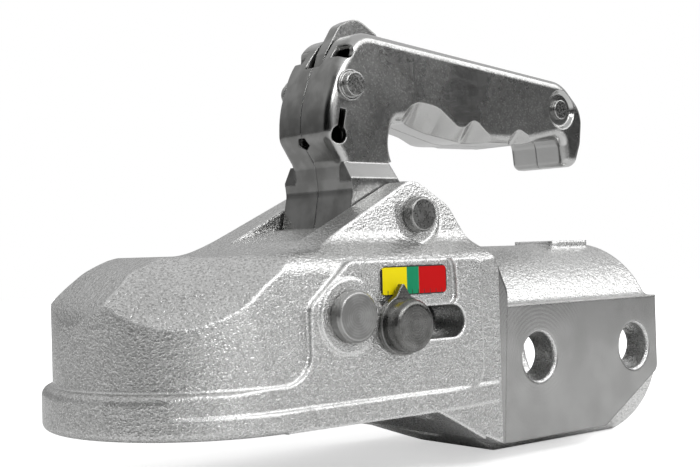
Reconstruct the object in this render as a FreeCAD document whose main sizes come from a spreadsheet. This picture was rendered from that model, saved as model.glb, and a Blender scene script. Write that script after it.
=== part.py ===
import FreeCAD
import Part
import Sketcher
import math
import os

# Trailer ball coupler, millimetres.
# Origin at the centre of the towing ball. +X points back along the drawbar, +Z is up,
# and the side with the wear pointer is at -Y.

doc = FreeCAD.newDocument("BallCoupler")
sheet = doc.addObject("Spreadsheet::Sheet", "Sizes")
Vector = FreeCAD.Vector


class Size:
    """A length that knows its number and the spreadsheet expression it comes from."""

    def __init__(self, number, text):
        self.number = number
        self.text = text

    def join(self, other, sign, number):
        return Size(number, "(%s %s %s)" % (self.text, sign, size_of(other).text))

    def __add__(self, other):
        return self.join(other, "+", self.number + size_of(other).number)

    def __sub__(self, other):
        return self.join(other, "-", self.number - size_of(other).number)

    def __mul__(self, other):
        return self.join(other, "*", self.number * size_of(other).number)

    def __truediv__(self, other):
        return self.join(other, "/", self.number / size_of(other).number)

    def __radd__(self, other):
        return size_of(other) + self

    def __rsub__(self, other):
        return size_of(other) - self

    def __rmul__(self, other):
        return size_of(other) * self

    def __neg__(self):
        return size_of(0) - self


def size_of(value):
    if isinstance(value, Size):
        return value
    return Size(float(value), repr(float(value)))


row = 0


def size(alias, value, note):
    """Write one driving dimension into the sheet and return it as a Size."""
    global row
    row += 1
    sheet.set("A%d" % row, note)
    sheet.set("B%d" % row, str(value))
    sheet.setAlias("B%d" % row, alias)
    return Size(float(value), "Sizes." + alias)


# Ball socket and the front of the casting
ball_diameter = size("ball_diameter", 50, "towing ball")
socket_clearance = size("socket_clearance", 0.3, "ball to socket, radial")
dome_radius = size("dome_radius", 38, "outside of the dome wall")
dome_top = size("dome_top", 33, "height of the flat top of the dome")
nose_crease = size("nose_crease", 19.5, "height where the nose starts to round over")
facet_crease = size("facet_crease", 15.6, "lowest point of the side facets on the wall")
facet_turn = size("facet_turn", 50, "turn of the side facets from the nose, degrees")
nape_x = size("nape_x", 16, "place where the cheeks rise from the dome")
belly_end = size("belly_end", 51.8, "place where the level underside ends")
rim_radius = size("rim_radius", 41, "outside of the rim round the socket")
rim_bottom = size("rim_bottom", -11, "height of the bottom of the rim")
rim_top = size("rim_top", 0.4, "height of the top of the rim")
rib_top = size("rib_top", -5.5, "height of the top of the rib along the sides")
band_start = size("band_start", 28, "how far ahead of the ball the rib parts from the rim")
rib_outset = size("rib_outset", 2.2, "how far the side rib stands out of the wall")

# Body of the casting between the dome and the drawbar sleeve
wall_half_width = size("wall_half_width", 38, "half width over the side walls at the rim")
shoulder_half_width = size("shoulder_half_width", 37, "half width where the walls lean in")
shoulder_height = size("shoulder_height", 30.5, "height where the walls lean in")
cheek_root_half_width = size("cheek_root_half_width", 28, "half width at the cheek root")
cheek_root_height = size("cheek_root_height", 36, "height of the cheek root")
cheek_half_width = size("cheek_half_width", 24.5, "half width over the cheeks at the top")
cheek_top = size("cheek_top", 53.5, "height of the cheeks")
valley_half_width = size("valley_half_width", 16.5, "half the gap between the cheeks")
ledge_height = size("ledge_height", 40, "height of the ledge in front of the lever leg")
ledge_end = size("ledge_end", 39.3, "place of the ledge's rear edge")
body_end = size("body_end", 81, "place of the rear of the front body")
rear_half_width = size("rear_half_width", 35.5, "half width at the rear of the front body")
cavity_front = size("cavity_front", 8.5, "front of the chamber behind the ball")
cavity_end = size("cavity_end", 76, "rear of the chamber")
cavity_half_width = size("cavity_half_width", 30, "half width of the chamber")
cavity_top = size("cavity_top", 26.5, "ceiling of the chamber")
cavity_sill = size("cavity_sill", 60, "rear end of the chamber's open underside")
cavity_floor = size("cavity_floor", -4, "floor of the chamber over the sill")
plate_half_width = size("plate_half_width", 38.9, "half width over the raised side plates")
plate_front = size("plate_front", 8.6, "front edge of the raised side plate")
plate_end = size("plate_end", 70, "rear edge of the raised side plate")
label_recess = size("label_recess", 1.4, "depth of the recess for the pointer scale")
recess_bottom = size("recess_bottom", 17, "height of the recess's lower edge")

# Drawbar sleeve and its bolted pads
tube_diameter = size("tube_diameter", 50, "drawbar tube")
tube_clearance = size("tube_clearance", 0.15, "tube to bore, radial")
sleeve_radius = size("sleeve_radius", 33.5, "outside of the drawbar sleeve")
sleeve_flat = size("sleeve_flat", -30, "height of the flat underside of the sleeve")
sleeve_end = size("sleeve_end", 157.5, "rear face of the sleeve")
bore_front = size("bore_front", 80, "front end of the tube bore")
pad_half_width = size("pad_half_width", 33.6, "half width over the milled pads")
pad_top = size("pad_top", 16, "height of the top of the pads")
pad_bottom = size("pad_bottom", -24.3, "height of the bottom of the pads")
pad_chamfer_x = size("pad_chamfer_x", 130, "front end of the slope under the pad")
pad_chamfer_z = size("pad_chamfer_z", -8.5, "upper end of the slope under the pad")
bolt_hole = size("bolt_hole", 14.5, "bolt holes through both pads")
bolt_first = size("bolt_first", 99.5, "place of the first bolt hole")
bolt_spacing = size("bolt_spacing", 46, "from bolt hole to bolt hole")
bolt_bevel = size("bolt_bevel", 0.7, "bevel of the bolt holes")
top_boss = size("top_boss", 1.2, "height of the cast boss on the sleeve")
pad_fillet = size("pad_fillet", 3, "fillet between the sleeve and the top of the pads")

# Pins
pivot_x = size("pivot_x", 57.5, "place of the lever pivot")
pivot_z = size("pivot_z", 43, "height of the lever pivot")
pivot_diameter = size("pivot_diameter", 10, "lever pivot pin")
pivot_face = size("pivot_face", 26, "half width over the seats of the pivot pin's heads")
pivot_seat_radius = size("pivot_seat_radius", 8.5, "radius of those seats")
head_height = size("head_height", 3.2, "height of the round pin heads")
jaw_x = size("jaw_x", 20.8, "place of the jaw pivot")
jaw_z = size("jaw_z", 16.5, "height of the jaw pivot")
jaw_pin_diameter = size("jaw_pin_diameter", 13.4, "jaw pins")
jaw_pin_inner = size("jaw_pin_inner", 16.8, "half the gap between the jaw pins")
jaw_boss_radius = size("jaw_boss_radius", 9.8, "radius of the boss round the jaw pin")
jaw_boss_face = size("jaw_boss_face", 39.8, "half width over those bosses")
pin_fit = size("pin_fit", 0.05, "pin to bore, radial")
slide_x = size("slide_x", 38.3, "place of the slide pin with the jaw locked")
slide_z = size("slide_z", 13.2, "height of the slide pin")
slide_diameter = size("slide_diameter", 8.7, "slide pin")
slide_travel = size("slide_travel", 19.5, "travel of the slide pin")
slot_clearance = size("slot_clearance", 0.15, "slide pin to its slot, each side")
slot_end_gap = size("slot_end_gap", 0.6, "slide pin to each end of the slot")
slide_head_radius = size("slide_head_radius", 7, "head of the slide pin")
slide_head_height = size("slide_head_height", 4.8, "height of that head")
washer_radius = size("washer_radius", 8, "round part of the pointer and its mate")
washer_thickness = size("washer_thickness", 1.7, "pointer and its mate")
pointer_reach = size("pointer_reach", 10.8, "from the slide pin to the pointer's tip")
running_gap = size("running_gap", 0.1, "between faces that slide on each other")
ring_thickness = size("ring_thickness", 1.2, "retaining ring")
ring_radius = size("ring_radius", 6.2, "outside of the retaining ring")

# Jaw, locking block and main spring
jaw_thickness = size("jaw_thickness", 5.2, "wall of the jaw behind the ball")
jaw_half_width = size("jaw_half_width", 25, "half width of the jaw")
jaw_front = size("jaw_front", 11, "front edge of the jaw")
jaw_top = size("jaw_top", 12, "height of the top of the jaw's wall")
jaw_bottom = size("jaw_bottom", -14, "height of the bottom of the jaw's wall")
ear_radius = size("ear_radius", 9, "ears of the jaw round its pins")
ear_inner = size("ear_inner", 17.5, "half the gap between the ears")
ear_outer = size("ear_outer", 26.5, "half width over the ears")
jaw_lug = size("jaw_lug", 31.2, "rear face of the jaw's lug")
lock_gap = size("lock_gap", 0.3, "from the jaw's lug to the locking block")
block_length = size("block_length", 14.5, "locking block")
block_half_width = size("block_half_width", 11, "half width of the locking block")
block_bottom = size("block_bottom", 3.5, "height of the block's underside")
block_top = size("block_top", 21.5, "height of the block's top")
spring_radius = size("spring_radius", 6.2, "main spring, to the middle of the wire")
spring_wire = size("spring_wire", 1.7, "wire of the main spring")
spring_turns = size("spring_turns", 6, "turns of the main spring")
seat_thickness = size("seat_thickness", 2, "spring seat")
seat_radius = size("seat_radius", 9, "radius of the spring seat")
seat_stub = size("seat_stub", 6, "guide stub of the spring seat")

# Lever, pressed from two half shells
lever_half_width = size("lever_half_width", 12.5, "half width of the grip")
leg_half_width = size("leg_half_width", 15.5, "half width of the leg below the joggle")
sheet_wall = size("sheet_wall", 2, "pressed sheet")
seam_gap = size("seam_gap", 0.1, "half the seam between the shells")
lever_bend = size("lever_bend", 3.2, "bend between the sides and the edges of the grip")
lever_front = size("lever_front", 36.9, "front of the lever")
lever_top = size("lever_top", 96.6, "top of the lever at the front")
grip_rear = size("grip_rear", 150.5, "rear of the grip")
grip_drop = size("grip_drop", 8.6, "fall of the grip's top from front to rear")
grip_depth = size("grip_depth", 21.7, "depth of the grip at the rear")
throat_x = size("throat_x", 60, "rear of the leg in the throat")
throat_rise = size("throat_rise", 5.2, "rise of the throat's arch over the grip's underside")
roll_rise = size("roll_rise", 10.6, "top of the rolled edge by the thumb, over the underside")
roll_reach = size("roll_reach", 8, "how far the rolled edge reaches in under the grip")
roll_fall = size("roll_fall", 9.5, "how far it falls on the way")
hook_drop = size("hook_drop", 6.7, "end hook below the grip's underside")
joggle_rise = size("joggle_rise", 15.5, "from the pivot up to where the leg starts to widen")
joggle_height = size("joggle_height", 4.5, "height of the joggle")
fork_radius = size("fork_radius", 9.2, "end of the lever's fork round the slide pin")
fork_play = size("fork_play", 1, "slide pin to the fork's slot, each side")
lever_swing = size("lever_swing", 33, "swing of the lever, degrees")
catch_x = size("catch_x", 45.4, "place of the catch pin")
catch_drop = size("catch_drop", 15.9, "catch pin below the lever's top")
catch_pin_diameter = size("catch_pin_diameter", 5, "catch pin")
catch_head_radius = size("catch_head_radius", 3.5, "head of the catch pin")
catch_ring_radius = size("catch_ring_radius", 4.5, "collar under that head")
catch_thickness = size("catch_thickness", 4, "safety catch")
catch_slot = size("catch_slot", 0.7, "safety catch to its slot in the shells, each side")
catch_wire = size("catch_wire", 1, "wire of the catch spring")
keyhole_x = size("keyhole_x", 41.2, "place of the keyhole")
keyhole_drop = size("keyhole_drop", 14.3, "keyhole below the catch pin")
keyhole_radius = size("keyhole_radius", 2.6, "round part of the keyhole")
keyhole_reach = size("keyhole_reach", 7.6, "height of the keyhole's slot")
keyhole_slot = size("keyhole_slot", 2.2, "width of the keyhole's slot")
rivet_x = size("rivet_x", 138, "place of the grip rivet")
rivet_rise = size("rivet_rise", 1.45, "grip rivet above the middle of the grip's depth")
rivet_diameter = size("rivet_diameter", 5, "grip rivet")
rivet_head_radius = size("rivet_head_radius", 3.2, "head of the grip rivet")
dimple_radius = size("dimple_radius", 5.4, "floor of the dimple round the grip rivet")
dimple_depth = size("dimple_depth", 1.2, "depth of that dimple")
dimple_slope = size("dimple_slope", 45, "slope of the dimple's wall, degrees")

# Pointer scale on the side plate
label_left = size("label_left", 33.2, "front edge of the scale")
label_length = size("label_length", 23.8, "length of the scale")
label_bottom = size("label_bottom", 21, "height of the scale's lower edge")
label_height = size("label_height", 7.8, "height of the scale")
label_thickness = size("label_thickness", 0.4, "thickness of the scale")

doc.recompute()


def new_body(name):
    body = doc.addObject("PartDesign::Body", name)
    body.Label = name
    return body


def plane_of(body, role):
    for feature in body.Origin.OriginFeatures:
        if feature.Role == role:
            return feature
    raise ValueError(role)


def new_sketch(body, name, role, offset=0, turned=0, about=1):
    """Sketch on one of the body's planes, moved along its normal or turned about its upright."""
    sketch = body.newObject("Sketcher::SketchObject", name)
    sketch.AttachmentSupport = [(plane_of(body, role), "")]
    sketch.MapMode = "FlatFace"
    shift = size_of(offset)
    angle = size_of(turned)
    sketch.AttachmentOffset = FreeCAD.Placement(
        Vector(0, 0, shift.number), FreeCAD.Rotation(Vector(0, about, 0), angle.number))
    if isinstance(offset, Size):
        sketch.setExpression("AttachmentOffset.Base.z", shift.text)
    if isinstance(turned, Size):
        sketch.setExpression("AttachmentOffset.Rotation.Angle", angle.text)
    return sketch


def tie(sketch, label, constraint, value):
    """Add a constraint and bind its value to the sheet."""
    index = sketch.addConstraint(constraint)
    sketch.renameConstraint(index, label)
    if isinstance(value, Size):
        sketch.setExpression("Constraints." + label, value.text)


def tie_point(sketch, geometry, place, label, across, up):
    across_size = size_of(across)
    up_size = size_of(up)
    tie(sketch, label + "_across",
        Sketcher.Constraint("DistanceX", -1, 1, geometry, place, across_size.number), across)
    tie(sketch, label + "_up",
        Sketcher.Constraint("DistanceY", -1, 1, geometry, place, up_size.number), up)


def outline(sketch, corners, label="corner"):
    """Closed outline through corners (across, up) or (across, up, radius of the bend)."""
    count = len(corners)
    points = []
    radii = []
    for corner in corners:
        points.append(Vector(size_of(corner[0]).number, size_of(corner[1]).number, 0))
        radii.append(corner[2] if len(corner) == 3 else 0)
    starts = []
    ends = []
    arcs = []
    for k in range(count):
        here = points[k]
        before = points[k - 1] - here
        after = points[(k + 1) % count] - here
        before.normalize()
        after.normalize()
        bend = size_of(radii[k]).number
        if bend <= 0:
            starts.append(here)
            ends.append(here)
            arcs.append(None)
            continue
        half = before.getAngle(after) / 2
        reach = bend / math.tan(half)
        middle = before + after
        middle.normalize()
        center = here + middle * (bend / math.sin(half))
        first = here + before * reach
        last = here + after * reach
        turn = before.x * after.y - before.y * after.x
        angle_a = math.atan2(first.y - center.y, first.x - center.x)
        angle_b = math.atan2(last.y - center.y, last.x - center.x)
        if turn > 0:
            angle_a, angle_b = angle_b, angle_a
        circle = Part.Circle(center, Vector(0, 0, 1), bend)
        arcs.append((Part.ArcOfCircle(circle, angle_a, angle_b), turn > 0))
        starts.append(first)
        ends.append(last)
    line_ids = []
    for k in range(count):
        following = starts[(k + 1) % count]
        line_ids.append(sketch.addGeometry(Part.LineSegment(ends[k], following), False))
    for k in range(count):
        entering = line_ids[k - 1]
        leaving = line_ids[k]
        tag = "%s%d" % (label, k)
        if arcs[k] is None:
            sketch.addConstraint(Sketcher.Constraint("Coincident", entering, 2, leaving, 1))
            tie_point(sketch, leaving, 1, tag, corners[k][0], corners[k][1])
            continue
        arc, swapped = arcs[k]
        arc_id = sketch.addGeometry(arc, False)
        mark = sketch.addGeometry(Part.Point(points[k]), True)
        enter_end, leave_end = (2, 1) if swapped else (1, 2)
        sketch.addConstraint([
            Sketcher.Constraint("Tangent", entering, 2, arc_id, enter_end),
            Sketcher.Constraint("Tangent", leaving, 1, arc_id, leave_end),
            Sketcher.Constraint("PointOnObject", mark, 1, entering),
            Sketcher.Constraint("PointOnObject", mark, 1, leaving),
        ])
        tie(sketch, tag + "_bend",
            Sketcher.Constraint("Radius", arc_id, size_of(radii[k]).number), radii[k])
        tie_point(sketch, mark, 1, tag, corners[k][0], corners[k][1])


def circle(sketch, across, up, radius, label="circle"):
    center = Vector(size_of(across).number, size_of(up).number, 0)
    geometry = sketch.addGeometry(
        Part.Circle(center, Vector(0, 0, 1), size_of(radius).number), False)
    tie(sketch, label + "_radius",
        Sketcher.Constraint("Radius", geometry, size_of(radius).number), radius)
    tie_point(sketch, geometry, 3, label, across, up)


def rectangle(sketch, left, right, bottom, top, bend=0, label="side"):
    outline(sketch, [(left, bottom, bend), (right, bottom, bend),
                     (right, top, bend), (left, top, bend)], label)


def half_disc(sketch, radius, closing=None):
    """Half disc right of the vertical axis, or what lies outside it up to `closing`."""
    number = size_of(radius).number
    curve = Part.Circle(Vector(0, 0, 0), Vector(0, 0, 1), number)
    arc = sketch.addGeometry(Part.ArcOfCircle(curve, -math.pi / 2, math.pi / 2), False)
    sketch.addConstraint([
        Sketcher.Constraint("Coincident", arc, 3, -1, 1),
        Sketcher.Constraint("PointOnObject", arc, 1, -2),
        Sketcher.Constraint("PointOnObject", arc, 2, -2),
    ])
    tie(sketch, "arc_radius", Sketcher.Constraint("Radius", arc, number), radius)
    if closing is None:
        places = [(0, number), (0, -number)]
    else:
        far = size_of(closing).number
        places = [(0, number), (0, far), (far, far), (far, -far), (0, -far), (0, -number)]
    ids = []
    for first, last in zip(places, places[1:]):
        segment = Part.LineSegment(Vector(first[0], first[1], 0), Vector(last[0], last[1], 0))
        ids.append(sketch.addGeometry(segment, False))
    sketch.addConstraint(Sketcher.Constraint("Coincident", arc, 2, ids[0], 1))
    sketch.addConstraint(Sketcher.Constraint("Coincident", arc, 1, ids[-1], 2))
    for first, last in zip(ids, ids[1:]):
        sketch.addConstraint(Sketcher.Constraint("Coincident", first, 2, last, 1))
    if closing is not None:
        tie_point(sketch, ids[1], 1, "top", 0, closing)
        tie_point(sketch, ids[1], 2, "top_corner", closing, closing)
        tie_point(sketch, ids[3], 1, "low_corner", closing, -closing)
        tie_point(sketch, ids[3], 2, "low", 0, -closing)


def bind(feature, name, value):
    setattr(feature, name, size_of(value).number)
    if isinstance(value, Size):
        feature.setExpression(name, value.text)


def extrude(body, kind, sketch, length, both=False, back=False):
    """Pad or pocket; both puts half the length on each side of the sketch."""
    feature = body.newObject("PartDesign::" + kind, sketch.Name + kind)
    feature.Profile = (sketch, [""])
    bind(feature, "Length", length)
    feature.SideType = "Symmetric" if both else "One side"
    feature.Reversed = back
    sketch.Visibility = False
    doc.recompute()
    return feature


def turn(body, kind, sketch, axis):
    """Revolution or groove, a full turn about one of the sketch's axes."""
    feature = body.newObject("PartDesign::" + kind, sketch.Name + kind)
    feature.Profile = (sketch, [""])
    feature.ReferenceAxis = (sketch, [axis])
    feature.Angle = 360
    sketch.Visibility = False
    doc.recompute()
    return feature


def edges_where(shape, test):
    """Names of the edges whose middle passes a test."""
    names = []
    for index, edge in enumerate(shape.Edges):
        middle = edge.valueAt((edge.FirstParameter + edge.LastParameter) / 2)
        if test(middle, edge):
            names.append("Edge%d" % (index + 1))
    return names


def soften(body, kind, name, amount, test):
    """Fillet or chamfer on the edges that pass a test."""
    base = body.Tip
    names = edges_where(base.Shape, test)
    feature = body.newObject("PartDesign::" + kind, name)
    feature.Base = (base, names)
    bind(feature, "Radius" if kind == "Fillet" else "Size", amount)
    doc.recompute()
    return feature


nodes = []


def keep(item, name):
    """Make an object one of the coupler's pieces."""
    item.Label = name
    nodes.append((name, item))
    return item


def mirrored(source, name):
    """The piece's twin on the other side of the middle plane."""
    twin = doc.addObject("Part::Mirroring", name)
    twin.Source = source
    twin.Normal = Vector(0, 1, 0)
    doc.recompute()
    return keep(twin, name)


def round_piece(name, steps, across, up):
    """A turned piece along Y through (across, up); steps are (radius, from y, to y)."""
    body = new_body(name)
    for index, (radius, near, far) in enumerate(steps):
        sketch = new_sketch(body, "%s_step%d" % (name, index), "XZ_Plane", -far)
        circle(sketch, across, up, radius)
        extrude(body, "Pad", sketch, far - near)
    return body


wide = sleeve_radius * 4
ball_radius = ball_diameter / 2
socket_radius = ball_radius + socket_clearance
bore_radius = tube_diameter / 2 + tube_clearance
pivot_radius = pivot_diameter / 2
jaw_pin_radius = jaw_pin_diameter / 2
slide_radius = slide_diameter / 2
slot_radius = slide_radius + slot_clearance
grip_rear_top = lever_top - grip_drop
grip_under = grip_rear_top - grip_depth
throat_top = grip_under + throat_rise
hook_bottom = grip_under - hook_drop
rivet_z = (grip_rear_top + grip_under) / 2 + rivet_rise
joggle_top = pivot_z + joggle_rise
catch_z = lever_top - catch_drop
keyhole_z = catch_z - keyhole_drop


# Casting: dome, side walls and cheeks, drawbar sleeve, pads and chamber
def make_housing():
    body = new_body("housing")

    nose = dome_radius + 0.4
    profile = new_sketch(body, "body_side", "XZ_Plane")
    outline(profile, [
        (-nose, rim_bottom),
        (belly_end, rim_bottom, 12),
        (body_end - 3, pad_bottom, 3),
        (body_end, pad_bottom),
        (body_end + 3, pad_top + 4, 6),
        (body_end - 11, pivot_z + 2.5, 8),
        (pivot_x, cheek_top, 6.5),
        (nape_x, dome_top, 14),
        (-dome_radius + 20, dome_top, 8),
        (-dome_radius + 11, dome_top - 3.8, 10),
        (-nose, nose_crease, 14),
    ])
    extrude(body, "Pad", profile, wall_half_width * 2, both=True)

    plan = new_sketch(body, "body_plan", "XY_Plane", -wide / 2)
    rectangle(plan, -wide, wide * 2, -wide, wide, label="frame")
    outline(plan, [
        (-dome_radius, -wall_half_width, dome_radius - 0.5),
        (pivot_x, -wall_half_width, 60),
        (body_end + 4, -rear_half_width),
        (body_end + 4, rear_half_width),
        (pivot_x, wall_half_width, 60),
        (-dome_radius, wall_half_width, dome_radius - 0.5),
    ])
    extrude(body, "Pocket", plan, wide, back=True)

    for side in (-1, 1):
        lean = new_sketch(body, "lean%d" % (side + 1), "YZ_Plane", -wide / 2)
        outline(lean, [
            (side * (wall_half_width + 0.15), rim_bottom - 1),
            (side * shoulder_half_width, shoulder_height, 6),
            (side * cheek_root_half_width, cheek_root_height, 6),
            (side * cheek_half_width, cheek_top + 1),
            (side * wide, cheek_top + 1),
            (side * wide, rim_bottom - 1),
        ])
        extrude(body, "Pocket", lean, wide * 2, back=True)
        facet = new_sketch(body, "dome_facet%d" % (side + 1), "XZ_Plane",
                           turned=facet_turn, about=-side)
        outline(facet, [
            (-dome_radius - 2, facet_crease - 2.7),
            (-dome_radius + 7, facet_crease + 9.6, 20),
            (-dome_radius + 14, dome_top - 1.1, 12),
            (-dome_radius + 22, dome_top + 1),
            (-dome_radius + 22, cheek_top),
            (-dome_radius - 2, cheek_top),
        ])
        extrude(body, "Pocket", facet, wide, both=True)

    rim = new_sketch(body, "rim", "XZ_Plane")
    outline(rim, [
        (dome_radius - 4, rim_bottom),
        (rim_radius, rim_bottom, 2),
        (rim_radius, rim_top, 2.5),
        (dome_radius - 4, rim_top),
    ])
    turn(body, "Revolution", rim, "V_Axis")
    for side in (-1, 1):
        band = new_sketch(body, "band%d" % (side + 1), "XY_Plane", rib_top)
        outline(band, [
            (-band_start, side * (rim_radius - 11)),
            (-band_start / 2, side * plate_half_width, 25),
            (plate_end, side * plate_half_width),
            (plate_end, side * wide),
            (-band_start, side * wide),
        ])
        extrude(body, "Pocket", band, rim_top - rib_top + 3, back=True)

    rib = new_sketch(body, "side_rib", "XY_Plane", rim_bottom)
    outline(rib, [
        (0, -wall_half_width - rib_outset),
        (pivot_x, -wall_half_width - rib_outset, 60),
        (body_end - 2, -rear_half_width - 1),
        (body_end - 2, rear_half_width + 1),
        (pivot_x, wall_half_width + rib_outset, 60),
        (0, wall_half_width + rib_outset),
    ])
    extrude(body, "Pad", rib, rib_top - rim_bottom)

    sleeve = new_sketch(body, "sleeve", "XZ_Plane")
    outline(sleeve, [
        (cavity_end, 0),
        (cavity_end, sleeve_radius),
        (sleeve_end, sleeve_radius),
        (sleeve_end, 0),
    ])
    turn(body, "Revolution", sleeve, "H_Axis")

    boss = new_sketch(body, "sleeve_boss", "XY_Plane")
    rectangle(boss, sleeve_end - 22, sleeve_end - 3, -9, 9, 2)
    extrude(body, "Pad", boss, sleeve_radius + top_boss)

    pads = new_sketch(body, "pads", "XZ_Plane")
    outline(pads, [
        (body_end - 2, pad_bottom, 6),
        (pad_chamfer_x, pad_bottom, 3),
        (sleeve_end, pad_chamfer_z, 3),
        (sleeve_end, pad_top),
        (body_end - 2, pad_top, 8),
    ])
    extrude(body, "Pad", pads, pad_half_width * 2, both=True)

    flat = new_sketch(body, "sleeve_underside", "XZ_Plane")
    outline(flat, [
        (body_end - 9, pad_bottom + 4),
        (body_end + 16, sleeve_flat, 10),
        (sleeve_end + 5, sleeve_flat),
        (sleeve_end + 5, sleeve_flat - 20),
        (body_end - 9, sleeve_flat - 20),
    ])
    extrude(body, "Pocket", flat, wide, both=True)

    for side in (-1, 1):
        plate = new_sketch(body, "side_plate%d" % (side + 1), "XZ_Plane", -side * cavity_half_width)
        outline(plate, [
            (-2, rib_top - 1),
            (plate_end, rib_top - 1, 6),
            (plate_end, shoulder_height, 4),
            (plate_front + 13, shoulder_height, 4),
            (plate_front, jaw_z + 3, 4),
            (plate_front, rim_top, 8),
            (-2, rim_top),
        ])
        extrude(body, "Pad", plate, plate_half_width - cavity_half_width, back=side > 0)
        ring = new_sketch(body, "jaw_boss%d" % (side + 1), "XZ_Plane", -side * cavity_half_width)
        circle(ring, jaw_x, jaw_z, jaw_boss_radius)
        extrude(body, "Pad", ring, jaw_boss_face - cavity_half_width, back=side > 0)

        recess_floor = plate_half_width - label_recess
        recess = new_sketch(body, "label_recess%d" % (side + 1), "XZ_Plane", -side * recess_floor)
        outline(recess, [
            (label_left + 1, recess_bottom, 3),
            (label_left + label_length + 3.5, recess_bottom, 4),
            (label_left + label_length + 2.5, shoulder_height + 0.2, 3),
            (label_left - 8.5, shoulder_height + 0.2, 3),
            (label_left - 7, shoulder_height - 7, 4),
        ])
        extrude(body, "Pocket", recess, 9, back=side < 0)

        seat = new_sketch(body, "pivot_seat%d" % (side + 1), "XZ_Plane", -side * pivot_face)
        circle(seat, pivot_x, pivot_z, pivot_seat_radius)
        extrude(body, "Pocket", seat, 20, back=side < 0)

    valley = new_sketch(body, "valley", "XZ_Plane")
    outline(valley, [
        (cavity_front - 4, dome_top),
        (cavity_front + 3, dome_top, 20),
        (ledge_end - 5, ledge_height - 0.4, 12),
        (ledge_end, ledge_height),
        (ledge_end, cavity_top - 5),
        (cavity_end, cavity_top - 5),
        (cavity_end, sleeve_radius, 3),
        (body_end + 6, sleeve_radius),
        (body_end + 6, cheek_top + 10),
        (cavity_front - 4, cheek_top + 10),
    ])
    extrude(body, "Pocket", valley, valley_half_width * 2, both=True)

    chamber = new_sketch(body, "chamber", "XY_Plane", cavity_top)
    rectangle(chamber, cavity_front, cavity_sill, -cavity_half_width, cavity_half_width, 3)
    extrude(body, "Pocket", chamber, wide)
    chamber_rear = new_sketch(body, "chamber_rear", "XY_Plane", cavity_top)
    rectangle(chamber_rear, cavity_sill - 8, cavity_end, -cavity_half_width + 3,
              cavity_half_width - 3, 4)
    extrude(body, "Pocket", chamber_rear, cavity_top - cavity_floor)

    socket = new_sketch(body, "ball_socket", "XZ_Plane")
    arc = socket.addGeometry(Part.ArcOfCircle(
        Part.Circle(Vector(0, 0, 0), Vector(0, 0, 1), socket_radius.number), 0, math.pi / 2), False)
    lines = [((0, socket_radius.number), (0, rim_bottom.number - 5)),
             ((0, rim_bottom.number - 5), (socket_radius.number + 2.5, rim_bottom.number - 5)),
             ((socket_radius.number + 2.5, rim_bottom.number - 5), (socket_radius.number, 0))]
    ids = []
    for first, last in lines:
        segment = Part.LineSegment(Vector(first[0], first[1], 0), Vector(last[0], last[1], 0))
        ids.append(socket.addGeometry(segment, False))
    socket.addConstraint([
        Sketcher.Constraint("Coincident", arc, 3, -1, 1),
        Sketcher.Constraint("Coincident", arc, 2, ids[0], 1),
        Sketcher.Constraint("Coincident", ids[0], 2, ids[1], 1),
        Sketcher.Constraint("Coincident", ids[1], 2, ids[2], 1),
        Sketcher.Constraint("Coincident", ids[2], 2, arc, 1),
        Sketcher.Constraint("PointOnObject", ids[0], 1, -2),
        Sketcher.Constraint("PointOnObject", ids[0], 2, -2),
        Sketcher.Constraint("PointOnObject", arc, 1, -1),
    ])
    tie(socket, "socket_radius",
        Sketcher.Constraint("Radius", arc, socket_radius.number), socket_radius)
    tie_point(socket, ids[1], 2, "mouth", socket_radius + 2.5, rim_bottom - 5)
    turn(body, "Groove", socket, "V_Axis")

    bore = new_sketch(body, "tube_bore", "YZ_Plane", bore_front)
    circle(bore, 0, 0, bore_radius)
    extrude(body, "Pocket", bore, wide, back=True)

    for index in (0, 1):
        hole = new_sketch(body, "bolt_hole%d" % index, "XZ_Plane")
        circle(hole, bolt_first + bolt_spacing * index, 0, bolt_hole / 2)
        extrude(body, "Pocket", hole, wide, both=True)
    pin_bores = new_sketch(body, "pin_bores", "XZ_Plane")
    circle(pin_bores, pivot_x, pivot_z, pivot_radius + pin_fit, "pivot")
    circle(pin_bores, jaw_x, jaw_z, jaw_pin_radius + pin_fit, "jaw")
    extrude(body, "Pocket", pin_bores, wide, both=True)
    slot = new_sketch(body, "pin_slot", "XZ_Plane")
    rectangle(slot, slide_x - slide_radius - slot_end_gap,
              slide_x + slide_travel + slide_radius + slot_end_gap,
              slide_z - slot_radius, slide_z + slot_radius, slot_radius - 0.05)
    extrude(body, "Pocket", slot, wide, both=True)

    def pad_corner(middle, edge):
        on_top = abs(middle.z - pad_top.number) < 0.01
        return on_top and edge.Length > 30 and abs(middle.y) < pad_half_width.number - 1
    soften(body, "Fillet", "pad_fillets", pad_fillet, pad_corner)

    def bolt_edge(middle, edge):
        on_face = abs(abs(middle.y) - pad_half_width.number) < 0.01
        return on_face and edge.Curve.TypeId == "Part::GeomCircle" and \
            abs(edge.Curve.Radius - bolt_hole.number / 2) < 0.01
    soften(body, "Chamfer", "bolt_bevels", bolt_bevel, bolt_edge)
    return keep(body, "housing")


make_housing()


# Pins that the casting carries
def make_pivot_pin():
    end = pivot_face + head_height
    body = round_piece("lever_pivot_pin", [(pivot_radius, -end, end)], pivot_x, pivot_z)
    soften(body, "Chamfer", "pivot_bevels", 0.5, lambda middle, edge: edge.Closed)
    return keep(body, "lever_pivot_pin")


def make_jaw_pins():
    end = jaw_boss_face + head_height
    near = round_piece("jaw_pin_near", [(jaw_pin_radius, -end, -jaw_pin_inner)], jaw_x, jaw_z)
    soften(near, "Chamfer", "jaw_pin_bevels", 0.7, lambda middle, edge: edge.Closed)
    keep(near, "jaw_pin_near")
    mirrored(near, "jaw_pin_far")


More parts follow.
